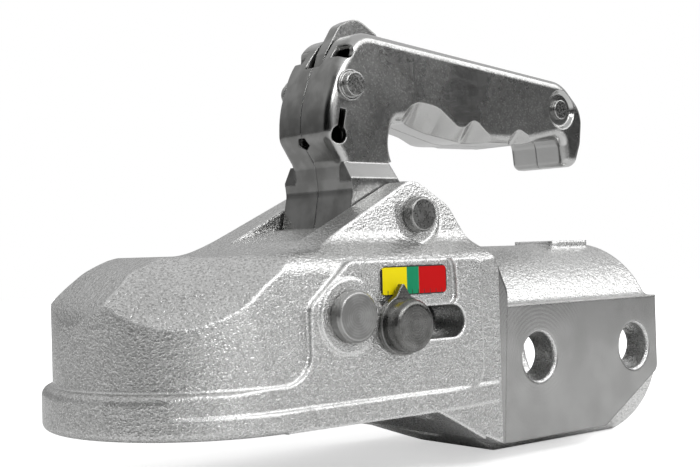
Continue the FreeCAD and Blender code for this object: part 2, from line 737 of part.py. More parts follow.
def make_label():
    face = plate_half_width - label_recess
    body = new_body("pointer_scale")
    sketch = new_sketch(body, "scale_outline", "XZ_Plane", face)
    rectangle(sketch, label_left, label_left + label_length, label_bottom,
              label_bottom + label_height, 1.8)
    extrude(body, "Pad", sketch, label_thickness)
    return keep(body, "pointer_scale")


# Jaw that holds the ball from behind, its spacer rings, and what locks it
def make_jaw():
    body = new_body("ball_jaw")
    shell = new_sketch(body, "jaw_side", "XY_Plane", jaw_bottom)
    rectangle(shell, jaw_front, ball_radius + jaw_thickness + 4, -jaw_half_width, jaw_half_width)
    extrude(body, "Pad", shell, jaw_top - jaw_bottom)
    outer = ball_radius + socket_clearance + jaw_thickness
    trim = new_sketch(body, "jaw_outside", "XZ_Plane")
    half_disc(trim, outer, outer * 2)
    turn(body, "Groove", trim, "V_Axis")
    lug = new_sketch(body, "jaw_lug", "XY_Plane", 2)
    rectangle(lug, ball_radius + 1, jaw_lug, -block_half_width + 2, block_half_width - 2)
    extrude(body, "Pad", lug, jaw_top - 2)
    for side in (-1, 1):
        ear = new_sketch(body, "ear%d" % (side + 1), "XZ_Plane", -side * ear_inner)
        outline(ear, [
            (jaw_x - ear_radius, jaw_z + ear_radius, ear_radius - 0.5),
            (jaw_x - ear_radius, 0),
            (jaw_x + ear_radius - 4, 0),
            (jaw_x + ear_radius, jaw_z - 2, 8),
            (jaw_x + ear_radius, jaw_z + ear_radius, ear_radius - 0.5),
        ])
        extrude(body, "Pad", ear, ear_outer - ear_inner, back=side > 0)
    seat = new_sketch(body, "jaw_seat", "XZ_Plane")
    half_disc(seat, ball_radius + socket_clearance)
    turn(body, "Groove", seat, "V_Axis")
    bore = new_sketch(body, "jaw_bore", "XZ_Plane")
    circle(bore, jaw_x, jaw_z, jaw_pin_radius + pin_fit)
    extrude(body, "Pocket", bore, wide, both=True)
    return keep(body, "ball_jaw")


def make_jaw_spacers():
    body = round_piece("jaw_spacer_near",
                       [(ear_radius - 0.5, -cavity_half_width, -ear_outer - running_gap)],
                       jaw_x, jaw_z)
    bore = new_sketch(body, "spacer_bore", "XZ_Plane")
    circle(bore, jaw_x, jaw_z, jaw_pin_radius + pin_fit)
    extrude(body, "Pocket", bore, wide, both=True)
    keep(body, "jaw_spacer_near")
    mirrored(body, "jaw_spacer_far")


block_front = jaw_lug + lock_gap
block_end = block_front + block_length


def make_block():
    body = new_body("locking_block")
    sketch = new_sketch(body, "block_side", "XZ_Plane")
    outline(sketch, [
        (block_front, block_bottom, 2),
        (block_end, block_bottom, 1),
        (block_end, block_top, 1),
        (block_front + 3, block_top, 4),
        (block_front, jaw_top, 3),
    ])
    extrude(body, "Pad", sketch, block_half_width * 2, both=True)
    bore = new_sketch(body, "block_bore", "XZ_Plane")
    circle(bore, slide_x, slide_z, slide_radius + pin_fit)
    extrude(body, "Pocket", bore, wide, both=True)
    return keep(body, "locking_block")


def make_slide_pin():
    inner = plate_half_width + running_gap + washer_thickness
    body = round_piece("slide_pin", [
        (slide_head_radius, -inner - slide_head_height, -inner),
        (slide_radius, -inner, inner + ring_thickness + 1.5),
    ], slide_x, slide_z)

    def head_rim(middle, edge):
        return edge.Closed and middle.y < (-inner - slide_head_height + 0.01).number
    soften(body, "Fillet", "slide_head_rim", 1.8, head_rim)
    return keep(body, "slide_pin")


def make_pointer():
    face = plate_half_width + running_gap
    body = new_body("wear_pointer")
    disc = new_sketch(body, "pointer_disc", "XZ_Plane", face)
    circle(disc, slide_x, slide_z, washer_radius)
    extrude(body, "Pad", disc, washer_thickness)
    tip = new_sketch(body, "pointer_tip", "XZ_Plane", face)
    outline(tip, [
        (slide_x - washer_radius + 1.6, slide_z + 4.2),
        (slide_x + washer_radius - 1.6, slide_z + 4.2),
        (slide_x + 2.2, slide_z + washer_radius, 3),
        (slide_x, slide_z + pointer_reach + 0.5, 0.5),
        (slide_x - 2.2, slide_z + washer_radius, 3),
    ])
    extrude(body, "Pad", tip, washer_thickness)
    bore = new_sketch(body, "pointer_bore", "XZ_Plane")
    circle(bore, slide_x, slide_z, slide_radius + pin_fit)
    extrude(body, "Pocket", bore, wide, both=True)
    return keep(body, "wear_pointer")


def make_far_washer():
    start = plate_half_width + running_gap
    body = round_piece("slide_washer", [(washer_radius, start, start + washer_thickness)],
                       slide_x, slide_z)
    bore = new_sketch(body, "washer_bore", "XZ_Plane")
    circle(bore, slide_x, slide_z, slide_radius + pin_fit)
    extrude(body, "Pocket", bore, wide, both=True)
    keep(body, "slide_washer")
    ring_start = start + washer_thickness
    ring = round_piece("retaining_ring", [(ring_radius, ring_start, ring_start + ring_thickness)],
                       slide_x, slide_z)
    hollow = new_sketch(ring, "ring_bore", "XZ_Plane")
    circle(hollow, slide_x, slide_z, slide_radius + pin_fit)
    extrude(ring, "Pocket", hollow, wide, both=True)
    keep(ring, "retaining_ring")


def coil_along(body, sketch, axis_x, axis_y, length, turns, across):
    """Wind the wire section in the sketch about an axis through (axis_x, axis_y)."""
    start = Vector(size_of(axis_x).number, size_of(axis_y).number, 0)
    step = Vector(10, 0, 0) if across else Vector(0, 10, 0)
    axis = sketch.addGeometry(Part.LineSegment(start, start + step), True)
    sketch.addConstraint(Sketcher.Constraint("Horizontal" if across else "Vertical", axis))
    tie_point(sketch, axis, 1, "axis_start", axis_x, axis_y)
    run = "DistanceX" if across else "DistanceY"
    sketch.addConstraint(Sketcher.Constraint(run, axis, 1, axis, 2, 10))
    helix = body.newObject("PartDesign::AdditiveHelix", sketch.Name + "_coil")
    helix.Profile = (sketch, [""])
    helix.ReferenceAxis = (sketch, ["Axis0"])
    helix.Mode = "height-turns-angle"
    bind(helix, "Height", length)
    bind(helix, "Turns", turns)
    sketch.Visibility = False
    doc.recompute()
    return helix


def make_main_spring():
    body = new_body("main_spring")
    sketch = new_sketch(body, "wire_section", "XZ_Plane")
    start = block_end + spring_wire / 2 + running_gap
    circle(sketch, start, slide_z + spring_radius, spring_wire / 2)
    length = cavity_end - seat_thickness - block_end - spring_wire - running_gap * 2
    coil_along(body, sketch, start, slide_z, length, spring_turns, across=True)
    return keep(body, "main_spring")


def make_spring_seat():
    body = new_body("spring_seat")
    disc = new_sketch(body, "seat_disc", "YZ_Plane", cavity_end - seat_thickness)
    circle(disc, 0, slide_z, seat_radius)
    extrude(body, "Pad", disc, seat_thickness)
    stub = new_sketch(body, "seat_stub", "YZ_Plane", cavity_end - seat_thickness)
    circle(stub, 0, slide_z, spring_radius - spring_wire / 2 - 0.8)
    extrude(body, "Pad", stub, seat_stub, back=True)
    return keep(body, "spring_seat")


# Lever: two pressed half shells with their fork, seam on the middle plane
side_face = lever_half_width - sheet_wall
leg_face = leg_half_width - sheet_wall
swing = math.radians(lever_swing.number)


def shell_outline(inset):
    """Side outline of the grip and upper leg, drawn in by the sheet's thickness."""
    joggle = joggle_top - joggle_height
    return [
        (lever_front + 5.5 + inset, joggle),
        (lever_front + 5 + inset, joggle + 4.5, 4),
        (lever_front + inset, joggle + 12, 6),
        (lever_front + 0.2 + inset, joggle + 20.5, 30),
        (lever_front + 4.6 + inset * 0.9, catch_z + 6, 24),
        (lever_front + 12.5 + inset * 0.5, lever_top - inset + 0.6, 9),
        (grip_rear - 10.5, grip_rear_top - inset, 12),
        (grip_rear - inset * 1.1, rivet_z, 10),
        (grip_rear - 1.4 - inset, grip_under + 1, 7),
        (grip_rear - 4.6 - inset * 0.8, hook_bottom + inset, 4 - inset * 1.2),
        (grip_rear - 11 + inset * 0.5, hook_bottom + inset, 2 - inset * 0.5),
        (rivet_x + 0.2 + inset, grip_under + 3.4 + inset, 3),
        (rivet_x - 18, grip_under + inset, 30),
        (throat_x + 31, grip_under - 0.2 + inset, 30),
        (throat_x + 9, throat_top + inset, 9),
        (throat_x + 2.6 - inset * 0.8, throat_top - 0.6 + inset, 3.5 - inset * 0.5),
        (throat_x + 0.6 - inset, joggle + 9, 11),
        (throat_x + 5 - inset, joggle),
    ]


def hollow_outline(rise):
    """The outline inside the sheet, with its lower edge lifted over the rolled edge."""
    inside = shell_outline(sheet_wall)
    return inside[:11] + [
        (rivet_x + 2, grip_under + 5.6, 3),
        (throat_x + 46, grip_under + rise * 0.45 + 1, 20),
        (throat_x + 34, grip_under + rise * 0.7 + 1, 12),
        (throat_x + 21, grip_under + rise + 1.6, 8),
        (throat_x + 2.6 - sheet_wall * 0.8, grip_under + rise + 1, 4),
    ] + inside[15:]


def make_shell():
    body = new_body("lever_shell_near")
    grip = new_sketch(body, "grip_side", "XZ_Plane", seam_gap)
    outline(grip, shell_outline(size_of(0)))
    extrude(body, "Pad", grip, lever_half_width - seam_gap)

    def outer_edge(middle, edge):
        outside = abs(middle.y + lever_half_width.number) < 0.01
        return outside and middle.z > (joggle_top - joggle_height).number + 0.05
    soften(body, "Fillet", "edge_bend", lever_bend, outer_edge)
    # The lower edge is rolled in under the grip, with a hump for the thumb and two for fingers.
    roll_side = new_sketch(body, "finger_roll", "XZ_Plane", lever_half_width + 1)
    roll_drop = roll_fall / roll_reach
    outline(roll_side, [
        (throat_x + 1.5, throat_top - 3 + roll_drop),
        (throat_x + 10.8, grip_under + roll_rise + 0.8 + roll_drop, 8),
        (throat_x + 20.5, grip_under + roll_rise - 0.6 + roll_drop, 9),
        (throat_x + 30.6, grip_under + 3 + roll_drop, 5),
        (throat_x + 36.2, grip_under + 7.4 + roll_drop, 3.5),
        (throat_x + 42.8, grip_under + 2.2 + roll_drop, 6),
        (rivet_x - 26, grip_under + 1.8 + roll_drop),
        (rivet_x - 21.4, grip_under + 5 + roll_drop, 3),
        (rivet_x - 15.5, grip_under + 2.4 + roll_drop, 5),
        (rivet_x - 4, grip_under + 3 + roll_drop),
        (rivet_x - 4, grip_under - 20),
        (throat_x + 8, grip_under - 20),
    ])
    rolled = extrude(body, "Pocket", roll_side, roll_reach + 1)
    rolled.UseCustomVector = True
    rolled.AlongSketchNormal = True
    rolled.Direction = Vector(0, roll_reach.number, -roll_fall.number)
    doc.recompute()

    hollow = new_sketch(body, "grip_hollow", "XZ_Plane", seam_gap - 1)
    outline(hollow, hollow_outline(roll_rise))
    extrude(body, "Pocket", hollow, side_face - seam_gap + 1, back=True)
    trough = new_sketch(body, "grip_trough", "XZ_Plane", seam_gap - 1)
    outline(trough, hollow_outline(roll_rise - 4.5))
    extrude(body, "Pocket", trough, side_face - 3 - seam_gap + 1, back=True)

    joggle = joggle_top - joggle_height
    leg = new_sketch(body, "leg_side", "XZ_Plane", leg_face)
    outline(leg, [
        (lever_front + 5.5, joggle),
        (lever_front + 6, joggle - 4, 6),
        (ledge_end + 1.4, ledge_height - 1),
        (ledge_end + 1.2, cavity_top - 3, 8),
        (slide_x - fork_radius - 1, slide_z + 5, 8),
        (slide_x - fork_radius + 0.5, slide_z - fork_radius + 1, 6),
        (slide_x + fork_radius, slide_z - fork_radius, 7),
        (pivot_x + 7, ledge_height - 14, 20),
        (pivot_x + 10, joggle - 7, 8),
        (throat_x + 3, joggle),
    ])
    extrude(body, "Pad", leg, sheet_wall)
    step = new_sketch(body, "joggle_side", "YZ_Plane", lever_front + 5.5)
    outline(step, [
        (-leg_half_width, joggle - 1),
        (-side_face, joggle - 1),
        (-side_face, joggle_top),
        (-lever_half_width, joggle_top),
        (-leg_half_width, joggle),
    ])
    extrude(body, "Pad", step, throat_x - lever_front - 2.5)
    # The step's rear corner is taken off on a slant that follows the throat's edge.
    corner = new_sketch(body, "leg_corner", "XY_Plane", joggle - 0.8)
    outline(corner, [
        (throat_x - 0.2, -leg_half_width - 1),
        (throat_x + 12, -leg_half_width - 1),
        (throat_x + 12, -lever_half_width + 4),
        (throat_x + 7.8, -lever_half_width + 4),
    ])
    slanted = extrude(body, "Pocket", corner, joggle_height + 1.4)
    slanted.UseCustomVector = True
    slanted.AlongSketchNormal = True
    forward_per_rise = 0.78
    slanted.Direction = Vector(-forward_per_rise, 0, 1)
    doc.recompute()

    front = new_sketch(body, "leg_front", "XZ_Plane", seam_gap)
    outline(front, [
        (lever_front + 5.5, joggle),
        (lever_front + 6, joggle - 4, 6),
        (ledge_end + 1.4, ledge_height - 1),
        (ledge_end + 3.4, ledge_height - 1),
        (lever_front + 8, joggle - 4, 5),
        (lever_front + 7.5, joggle),
    ])
    extrude(body, "Pad", front, leg_face - seam_gap + 0.5)
    gap = new_sketch(body, "front_gap", "YZ_Plane")
    outline(gap, [(0.5, joggle_top + 4), (-2.5, joggle_top + 5.5), (-1.5, joggle_top + 7.6),
                  (0.5, joggle_top + 7.6)])
    extrude(body, "Pocket", gap, lever_front + 7, back=True)

    fork_slot = new_sketch(body, "fork_slot", "XZ_Plane")
    half = slide_radius + fork_play
    lift_x = (slide_x + slide_travel - pivot_x) * math.cos(swing) \
        + (slide_z - pivot_z) * math.sin(swing) + pivot_x
    lift_z = (slide_z - pivot_z) * math.cos(swing) \
        - (slide_x + slide_travel - pivot_x) * math.sin(swing) + pivot_z
    circle(fork_slot, slide_x, slide_z, half, "rest")
    extrude(body, "Pocket", fork_slot, wide, both=True)
    fork_end = new_sketch(body, "fork_slot_end", "XZ_Plane")
    circle(fork_end, lift_x, lift_z, half, "open")
    extrude(body, "Pocket", fork_end, wide, both=True)
    fork_mid = new_sketch(body, "fork_slot_middle", "XZ_Plane")
    middle_x = (slide_x + slide_travel / 2 - pivot_x) * math.cos(swing / 2) \
        + (slide_z - pivot_z) * math.sin(swing / 2) + pivot_x
    middle_z = (slide_z - pivot_z) * math.cos(swing / 2) \
        - (slide_x + slide_travel / 2 - pivot_x) * math.sin(swing / 2) + pivot_z
    circle(fork_mid, middle_x, middle_z, half, "middle")
    extrude(body, "Pocket", fork_mid, wide, both=True)

    pivot = new_sketch(body, "shell_pivot", "XZ_Plane")
    circle(pivot, pivot_x, pivot_z, pivot_radius + pin_fit, "pivot")
    circle(pivot, catch_x, catch_z, catch_pin_diameter / 2, "catch")
    circle(pivot, rivet_x, rivet_z, rivet_diameter / 2, "rivet")
    extrude(body, "Pocket", pivot, wide, both=True)

    dimple = new_sketch(body, "rivet_dimple", "XZ_Plane", lever_half_width - dimple_depth)
    circle(dimple, rivet_x, rivet_z, dimple_radius)
    dish = extrude(body, "Pocket", dimple, dimple_depth + 1, back=True)
    bind(dish, "TaperAngle", dimple_slope)
    doc.recompute()

    key = new_sketch(body, "keyhole", "XZ_Plane")
    circle(key, keyhole_x, keyhole_z, keyhole_radius)
    extrude(body, "Pocket", key, wide, both=True)
    key_slot = new_sketch(body, "keyhole_slot", "XZ_Plane", side_face - 3)
    outline(key_slot, [
        (keyhole_x - keyhole_slot / 2, keyhole_z),
        (keyhole_x + keyhole_slot / 2, keyhole_z),
        (keyhole_x + keyhole_slot / 2 + 1.6, keyhole_z + keyhole_reach - 0.4),
        (keyhole_x - keyhole_slot / 2 + 1.6, keyhole_z + keyhole_reach),
    ])
    extrude(body, "Pocket", key_slot, 10, back=True)

    notch = new_sketch(body, "corner_notch", "XZ_Plane", side_face - 4)
    circle(notch, catch_x - 0.4, catch_z + 10.2, 2.4)
    extrude(body, "Pocket", notch, 10, back=True)
    top_slot = new_sketch(body, "catch_slot", "XY_Plane", catch_z + 6)
    outline(top_slot, [
        (catch_x - 3.4, 1),
        (catch_x - 3.4, -catch_thickness / 2 - catch_slot - 1.4, 1),
        (catch_x + 8, -catch_thickness / 2 - catch_slot, 3),
        (catch_x + 23, -catch_thickness / 2 - catch_slot, 1.5),
        (catch_x + 23, 1),
    ])
    extrude(body, "Pocket", top_slot, 30, back=True)
    return keep(body, "lever_shell_near")


def make_lever_parts():
    near = make_shell()
    mirrored(near, "lever_shell_far")
    bush = round_piece("pivot_bush", [(pivot_radius + 2.5, -leg_face, leg_face)], pivot_x, pivot_z)
    bore = new_sketch(bush, "bush_bore", "XZ_Plane")
    circle(bore, pivot_x, pivot_z, pivot_radius + pin_fit)
    extrude(bush, "Pocket", bore, wide, both=True)
    keep(bush, "pivot_bush")

    spacer = round_piece("grip_spacer",
                         [(rivet_diameter / 2 + 1.8, -side_face, side_face)], rivet_x, rivet_z)
    hole = new_sketch(spacer, "spacer_hole", "XZ_Plane")
    circle(hole, rivet_x, rivet_z, rivet_diameter / 2)
    extrude(spacer, "Pocket", hole, wide, both=True)
    keep(spacer, "grip_spacer")

    seat = lever_half_width - dimple_depth
    rivet = round_piece("grip_rivet", [
        (rivet_head_radius, -seat - 1.1, -seat),
        (rivet_diameter / 2, -seat, seat),
        (rivet_head_radius, seat, seat + 1.1),
    ], rivet_x, rivet_z)
    keep(rivet, "grip_rivet")

    collar = lever_half_width + 0.8
    pin = round_piece("catch_pin", [
        (catch_head_radius, -collar - 2.2, -collar),
        (catch_ring_radius, -collar, -lever_half_width),
        (catch_pin_diameter / 2, -lever_half_width, lever_half_width),
        (catch_ring_radius, lever_half_width, collar),
        (catch_head_radius, collar, collar + 2.2),
    ], catch_x, catch_z)
    keep(pin, "catch_pin")


def make_catch():
    body = new_body("safety_catch")
    sketch = new_sketch(body, "catch_side", "XZ_Plane")
    outline(sketch, [
        (catch_x - 0.2, catch_z + 10.5, 1.5),
        (catch_x + 5.6, catch_z + 19.5, 5),
        (catch_x + 12, catch_z + 22.4, 7),
        (catch_x + 20.2, catch_z + 17.8, 1.5),
        (catch_x + 20, catch_z + 12.5, 2),
        (catch_x + 9, catch_z + 6.5, 6),
        (catch_x + 6.5, catch_z - 4, 4),
        (catch_x + 3.5, keyhole_z - 5, 1.5),
        (catch_x + 0.4, keyhole_z - 5, 1),
        (catch_x - 0.8, catch_z - 6, 8),
        (catch_x - 3.8, catch_z - 1.5, 3),
        (catch_x - 1.8, catch_z + 5, 3),
    ])
    extrude(body, "Pad", sketch, catch_thickness, both=True)
    bore = new_sketch(body, "catch_bore", "XZ_Plane")
    circle(bore, catch_x, catch_z, catch_pin_diameter / 2 + pin_fit)
    extrude(body, "Pocket", bore, wide, both=True)
    return keep(body, "safety_catch")


def make_catch_spring():
    body = new_body("catch_spring")
    sketch = new_sketch(body, "catch_wire", "XY_Plane", catch_z)
    coil = catch_pin_diameter / 2 + catch_wire
    start = catch_thickness / 2 + catch_wire
    circle(sketch, catch_x + coil, start, catch_wire / 2)
    coil_along(body, sketch, catch_x, start, catch_wire * 4.6, 4, across=False)
    return keep(body, "catch_spring")


make_pivot_pin()
make_jaw_pins()
make_label()
make_jaw()
make_jaw_spacers()
make_block()
make_slide_pin()
make_pointer()
make_far_washer()
make_main_spring()
make_spring_seat()
make_lever_parts()
make_catch()
make_catch_spring()

doc.recompute()
for item in doc.Objects:
    for word in ("Invalid", "Error"):
        if word in item.State:
            raise RuntimeError("%s is %s" % (item.Name, item.State))
for name, item in nodes:
    if item.Shape.isNull() or not item.Shape.isValid():
        raise RuntimeError("%s has no valid shape" % name)
    if len(item.Shape.Solids) != 1:
        raise RuntimeError("%s has %d solids" % (name, len(item.Shape.Solids)))
os.makedirs("parts", exist_ok=True)
for name, item in nodes:
    item.Shape.exportStep("parts/%s.step" % name)
    print("%-20s %10.1f mm3" % (name, item.Shape.Volume))
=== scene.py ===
import math

import bpy
import numpy as np
from mathutils import Matrix, Vector


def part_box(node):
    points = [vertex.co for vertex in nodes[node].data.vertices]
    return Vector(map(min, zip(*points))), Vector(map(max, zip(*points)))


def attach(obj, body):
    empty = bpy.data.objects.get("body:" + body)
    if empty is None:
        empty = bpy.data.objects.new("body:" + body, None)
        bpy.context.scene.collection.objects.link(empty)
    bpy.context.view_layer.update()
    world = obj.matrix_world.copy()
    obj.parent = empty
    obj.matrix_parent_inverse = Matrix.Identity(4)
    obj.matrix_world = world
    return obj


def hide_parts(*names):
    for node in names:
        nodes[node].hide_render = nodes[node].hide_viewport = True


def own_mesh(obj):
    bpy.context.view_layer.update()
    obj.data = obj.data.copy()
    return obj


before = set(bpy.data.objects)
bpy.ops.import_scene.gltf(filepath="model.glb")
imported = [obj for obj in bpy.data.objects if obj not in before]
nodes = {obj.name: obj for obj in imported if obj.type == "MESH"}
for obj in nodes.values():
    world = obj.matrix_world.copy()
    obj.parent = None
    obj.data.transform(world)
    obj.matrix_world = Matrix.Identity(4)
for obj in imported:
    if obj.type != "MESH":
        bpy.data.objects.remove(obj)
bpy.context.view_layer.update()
scene = bpy.context.scene
MM = 0.001


# Camera: low beside the coupler's front left corner, level with the ball and 40 degrees round
# from square on, with a lens of 62 mm on a 36 mm frame, turned a little about its own axis.
camera_place = Vector((-176.9, -276.24, 33.15)) * MM
camera_yaw, camera_pitch, camera_roll = (math.radians(a) for a in (39.955, 0.835, -1.6))
lens_mm = 62.1

camera = bpy.data.objects.new("camera", bpy.data.cameras.new("camera"))
camera.data.lens = lens_mm
camera.data.sensor_width = 36
camera.data.clip_start = 0.01
camera.matrix_world = (
    Matrix.Translation(camera_place)
    @ Matrix.Rotation(-camera_yaw, 4, "Z")
    @ Matrix.Rotation(math.pi / 2 + camera_pitch, 4, "X")
    @ Matrix.Rotation(camera_roll, 4, "Z")
)
scene.collection.objects.link(camera)
scene.camera = camera


# Studio: a white table before a white wall. The key box stands high on the pointer side, out of
# the lever's mirror direction, and a long narrow box in front lights the casting's round edges.
table_height = -30.2 * MM
table_size = 3.0
table_tone = (0.93, 0.93, 0.93)
table_roughness = 0.7
fade_start, fade_end = 0.12, 0.6
glow_near, glow_far = 0.55, 1.0
studio_aim = Vector((0.06, 0, 0.03))


def new_piece(name, points, faces):
    """A mesh object, from its points and the point numbers of each face."""
    mesh = bpy.data.meshes.new(name)
    mesh.from_pydata(points, [], faces)
    piece = bpy.data.objects.new(name, mesh)
    scene.collection.objects.link(piece)
    return piece


def new_material(name, metallic):
    """A material, with the share of metal set on its Principled shader."""
    material = bpy.data.materials.new(name)
    material.use_nodes = True
    material.node_tree.nodes["Principled BSDF"].inputs["Metallic"].default_value = metallic
    return material


def feed(tree, value, socket):
    """Links another node's output to a socket, or sets the socket to a number or a colour."""
    if isinstance(value, bpy.types.NodeSocket):
        tree.links.new(value, socket)
    elif isinstance(value, tuple):
        socket.default_value = (*value, 1)
    else:
        socket.default_value = value


def feed_shader(tree, colour, roughness, normal=None):
    """Gives a Principled shader its colour, its roughness and, where there is one, its normal."""
    sockets = tree.nodes["Principled BSDF"].inputs
    feed(tree, colour, sockets["Base Color"])
    feed(tree, roughness, sockets["Roughness"])
    if normal is not None:
        feed(tree, normal, sockets["Normal"])


def maths(tree, operation, first, second=None, third=None):
    """A Math node; each input is a number or another node's output."""
    node = tree.nodes.new("ShaderNodeMath")
    node.operation = operation
    for socket, value in zip(node.inputs, (first, second, third)):
        if value is not None:
            feed(tree, value, socket)
    return node.outputs[0]


def vector_maths(tree, operation, first, second=None):
    """A Vector Math node on a node's output and, as second, an output or three numbers. It
    gives a number for a length or a dot product, and a vector for the rest."""
    node = tree.nodes.new("ShaderNodeVectorMath")
    node.operation = operation
    feed(tree, first, node.inputs[0])
    if isinstance(second, tuple):
        node.inputs[1].default_value = second
    elif second is not None:
        feed(tree, second, node.inputs[1])
    return node.outputs["Value" if operation in ("LENGTH", "DOT_PRODUCT") else "Vector"]


def step_up(tree, value, low, high, from_value=0.0, to_value=1.0):
    """Smooth ramp of value from low to high, giving from_value to to_value."""
    node = tree.nodes.new("ShaderNodeMapRange")
    node.interpolation_type = "SMOOTHSTEP"
    for label, number in (("Value", value), ("From Min", low), ("From Max", high),
                          ("To Min", from_value), ("To Max", to_value)):
        feed(tree, number, node.inputs[label])
    return node.outputs["Result"]


def object_place(tree):
    """The shaded point in the object's own axes, in metres."""
    return tree.nodes.new("ShaderNodeTexCoord").outputs["Object"]


half = table_size / 2
table = new_piece("table", [(-half, -half, table_height), (half, -half, table_height),
                            (half, half, table_height), (-half, half, table_height)],
                  [(0, 1, 2, 3)])
table_white = new_material("table_white", 0)
table.data.materials.append(table_white)
table_tree = table_white.node_tree
feed_shader(table_tree, table_tone, table_roughness)

# Away from the coupler the table fades into the white wall, for the camera's rays only.
from_middle = vector_maths(table_tree, "LENGTH", object_place(table_tree))
glow = step_up(table_tree, from_middle, fade_start, fade_end, glow_near, glow_far)
camera_ray = table_tree.nodes.new("ShaderNodeLightPath").outputs["Is Camera Ray"]
table_sockets = table_tree.nodes["Principled BSDF"].inputs
table_sockets["Emission Color"].default_value = (1, 1, 1, 1)
feed(table_tree, maths(table_tree, "MULTIPLY", glow, camera_ray),
     table_sockets["Emission Strength"])


def soft_box(name, place, width, height, power):
    """An oblong area lamp that faces the coupler, in metres and watts."""
    lamp = bpy.data.lights.new(name, "AREA")
    lamp.shape = "RECTANGLE"
    lamp.energy = power
    lamp.size = width
    lamp.size_y = height
    holder = bpy.data.objects.new(name, lamp)
    holder.location = place
    holder.rotation_euler = (studio_aim - Vector(place)).to_track_quat("-Z", "Y").to_euler()
    scene.collection.objects.link(holder)


soft_box("key_box", (0.55, -0.55, 0.5), width=1.0, height=0.4, power=3.15)
soft_box("crease_box", (-0.05, -0.75, 0.5), width=0.7, height=0.12, power=2.4)

# The wall behind is the world itself: white where the camera sees it. As a light it is bright
# overhead and dim near the table, with two dark gaps: left of the camera, and where the flat
# smooth faces mirror the room.
overhead_light = 0.78
overhead_height = 0.75
low_light = 0.24
left_gap, left_gap_reach = (-0.87, -0.5, 0), (0.6, 0.88)
mirror_gap, mirror_gap_reach = (0.76, -0.64, 0.1), (0.8, 0.95)

world = bpy.data.worlds.new("studio")
world.use_nodes = True
sky = world.node_tree
room_light = sky.nodes["Background"]
room_light.inputs["Color"].default_value = (1, 1, 1, 1)
white_wall = sky.nodes.new("ShaderNodeBackground")
white_wall.inputs["Color"].default_value = (1, 1, 1, 1)
white_wall.inputs["Strength"].default_value = 1.0
way_out = sky.nodes.new("ShaderNodeTexCoord").outputs["Generated"]


def parts_of(tree, vector):
    """The X, Y and Z of a node's vector output."""
    node = tree.nodes.new("ShaderNodeSeparateXYZ")
    feed(tree, vector, node.inputs[0])
    return node.outputs


def nearness(way, reach):
    """How near the world's direction comes to a way: the cosine of the angle between them, as
    a share of the reach."""
    return step_up(sky, vector_maths(sky, "DOT_PRODUCT", way_out, way), *reach)


in_gap = maths(sky, "MAXIMUM", nearness(left_gap, left_gap_reach),
               nearness(mirror_gap, mirror_gap_reach))
open_light = step_up(sky, parts_of(sky, way_out)[2], 0.0, overhead_height,
                     low_light, overhead_light)
kept_share = maths(sky, "SUBTRACT", 1.0, in_gap)
feed(sky, maths(sky, "MULTIPLY", open_light, kept_share), room_light.inputs["Strength"])
choice = sky.nodes.new("ShaderNodeMixShader")
feed(sky, sky.nodes.new("ShaderNodeLightPath").outputs["Is Camera Ray"], choice.inputs[0])
feed(sky, room_light.outputs[0], choice.inputs[1])
feed(sky, white_wall.outputs[0], choice.inputs[2])
feed(sky, choice.outputs[0], sky.nodes["World Output"].inputs["Surface"])
scene.world = world
scene.view_settings.view_transform = "Standard"


# Casting: the one-piece housing of zinc plated cast iron, with the pebbled skin that the
# sand mould leaves, soft edges with a painted highlight, and milled faces on both pads. The jaw
# is cast as well.
def grey(level):
    """Metal grey, a trace warmer than neutral: its blue lies 0.005 lower."""
    return level, level, level - 0.005


def noise(tree, place, scale, detail=2.0, roughness=0.5):
    """Cloudy noise from 0 to 1, with scale as its waves to the metre."""
    node = tree.nodes.new("ShaderNodeTexNoise")
    node.inputs["Scale"].default_value = scale
    node.inputs["Detail"].default_value = detail
    node.inputs["Roughness"].default_value = roughness
    feed(tree, place, node.inputs["Vector"])
    return node.outputs["Fac"]


def stretched(tree, clouds, from_value=0.0, to_value=1.0):
    """Stretches a noise, which seldom leaves 0.3 to 0.7, over a ramp between two values."""
    return step_up(tree, clouds, 0.3, 0.7, from_value, to_value)


def cells(tree, place, scale, smooth):
    """Rounded cells: low in the middle of each cell and high between them."""
    node = tree.nodes.new("ShaderNodeTexVoronoi")
    node.feature = "SMOOTH_F1"
    node.inputs["Scale"].default_value = scale
    node.inputs["Smoothness"].default_value = smooth
    feed(tree, place, node.inputs["Vector"])
    return node.outputs["Distance"]


def blend_colour(tree, share, first, second):
    """Mixes two colours; each is three numbers or another node's output."""
    node = tree.nodes.new("ShaderNodeMix")
    node.data_type = "RGBA"
    feed(tree, share, node.inputs["Factor"])
    feed(tree, first, node.inputs[6])
    feed(tree, second, node.inputs[7])
    return node.outputs[2]


def blend_number(tree, share, first, second):
    """Mixes two numbers; each is a plain one or another node's output."""
    node = tree.nodes.new("ShaderNodeMix")
    feed(tree, share, node.inputs["Factor"])
    feed(tree, first, node.inputs[2])
    feed(tree, second, node.inputs[3])
    return node.outputs[0]


def bump(tree, height, strength, distance, normal):
    """A normal tilted by a height, which counts for strength times distance."""
    node = tree.nodes.new("ShaderNodeBump")
    node.inputs["Strength"].default_value = strength
    node.inputs["Distance"].default_value = distance
    feed(tree, height, node.inputs["Height"])
    feed(tree, normal, node.inputs["Normal"])
    return node.outputs["Normal"]


def axis_distance(tree, place, axis):
    """Distance from a line along Y that passes through axis, given as its X and Z."""
    away = vector_maths(tree, "SUBTRACT", place, (axis[0], 0, axis[1]))
    return vector_maths(tree, "LENGTH", vector_maths(tree, "MULTIPLY", away, (1, 0, 1)))


